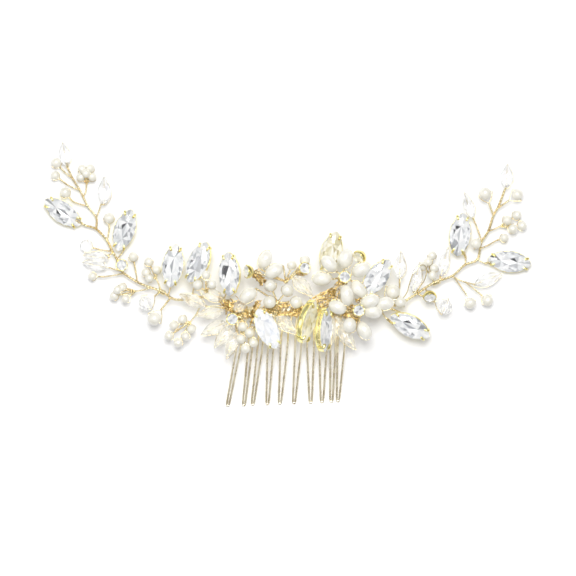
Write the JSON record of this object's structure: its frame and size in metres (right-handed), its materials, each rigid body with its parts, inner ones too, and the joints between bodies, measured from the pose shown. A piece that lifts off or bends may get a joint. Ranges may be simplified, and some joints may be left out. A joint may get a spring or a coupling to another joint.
{
  "type": "decorative hair comb",
  "caption": "Wire hair comb whose rail carries a long vine of twisted gold wire, claw-set boat-shaped stones, pearls and clear drop beads.",
  "frame": {"origin": "middle of the flat back face of the comb's rail", "axes": "+X along the vine, +Y away from the tine tips, +Z out of the decorated front"},
  "size_m": [0.1764, 0.0953, 0.0161],
  "materials": {
    "comb_metal": "pale champagne gold plate, polished",
    "gold_wire": "bright twisted gold wire",
    "setting_gold": "bright yellow gold plate, polished",
    "clear_stone": "clear cut glass over silver foil",
    "crystal": "clear and faint champagne faceted glass",
    "pearl": "ivory pearl lustre"
  },
  "bodies": {
    "comb": {"comb_rail": "comb_metal", "tine_01": "comb_metal", "tine_02": "comb_metal", "tine_03": "comb_metal", "tine_04": "comb_metal", "tine_05": "comb_metal", "tine_06": "comb_metal", "tine_07": "comb_metal", "tine_08": "comb_metal", "tine_09": "comb_metal", "tine_10": "comb_metal", "navette_stone_01": "clear_stone", "navette_setting_01": "setting_gold", "navette_stone_02": "clear_stone", "navette_setting_02": "setting_gold", "navette_stone_03": "clear_stone", "navette_setting_03": "setting_gold", "navette_stone_04": "clear_stone", "navette_setting_04": "setting_gold", "navette_stone_05": "clear_stone", "navette_setting_05": "setting_gold", "navette_stone_06": "clear_stone", "navette_setting_06": "setting_gold", "navette_stone_07": "clear_stone", "navette_setting_07": "setting_gold", "navette_stone_08": "clear_stone", "navette_setting_08": "setting_gold", "navette_stone_09": "clear_stone", "navette_setting_09": "setting_gold", "navette_stone_10": "clear_stone", "navette_setting_10": "setting_gold", "navette_stone_11": "clear_stone", "navette_setting_11": "setting_gold", "navette_stone_12": "clear_stone", "navette_setting_12": "setting_gold", "navette_stone_13": "clear_stone", "navette_setting_13": "setting_gold", "upper_flower_cup": "setting_gold", "upper_flower_stone": "clear_stone", "upper_flower_petals": "pearl", "lower_flower_cup": "setting_gold", "lower_flower_stone": "clear_stone", "lower_flower_petals": "pearl", "vine_left": "gold_wire", "vine_right": "gold_wire", "lashing_wire_left": "gold_wire", "lashing_wire_right": "gold_wire", "drop_fan_left": "crystal", "pearl_cluster_lower": "pearl", "pearl_spray_left": "pearl", "pearl_spray_centre": "pearl", "pearl_spray_upper": "pearl", "drop_fan_right": "crystal", "upper_chaton": "setting_gold"},
    "crystal_bead_left": {"crystal_bead_left": "crystal"},
    "crystal_bead_right": {"crystal_bead_right": "crystal"},
    "turning_pearl_left": {"turning_pearl_left": "pearl"},
    "turning_pearl_right": {"turning_pearl_right": "pearl"},
    "turning_pearl_far_right": {"turning_pearl_far_right": "pearl"},
    "turning_pearl_inner_right": {"turning_pearl_inner_right": "pearl"}
  },
  "joints": [
    {"name": "crystal_bead_left_spin", "type": "hinge", "parent": "comb", "child": "crystal_bead_left", "pos_m": [-0.0535, 0.0032, 0.00136], "axis": [0.6159, -0.7878, 0], "continuous": true},
    {"name": "crystal_bead_right_spin", "type": "hinge", "parent": "comb", "child": "crystal_bead_right", "pos_m": [0.0545, 0.0019, 0.00123], "axis": [0.4254, 0.905, 0], "continuous": true},
    {"name": "turning_pearl_left_spin", "type": "hinge", "parent": "comb", "child": "turning_pearl_left", "pos_m": [-0.0504, -0.0024, 0.00179], "axis": [0.7926, -0.6097, 0], "continuous": true},
    {"name": "turning_pearl_right_spin", "type": "hinge", "parent": "comb", "child": "turning_pearl_right", "pos_m": [0.0689, 0.0428, -0.00011], "axis": [-0.9324, -0.3613, 0], "continuous": true},
    {"name": "turning_pearl_far_right_spin", "type": "hinge", "parent": "comb", "child": "turning_pearl_far_right", "pos_m": [0.0806, 0.0424, -0.00044], "axis": [-0.5655, 0.8247, 0], "continuous": true},
    {"name": "turning_pearl_inner_right_spin", "type": "hinge", "parent": "comb", "child": "turning_pearl_inner_right", "pos_m": [0.0356, 0.0074, 0.00254], "axis": [-0.7612, 0.6485, 0], "continuous": true}
  ]
}
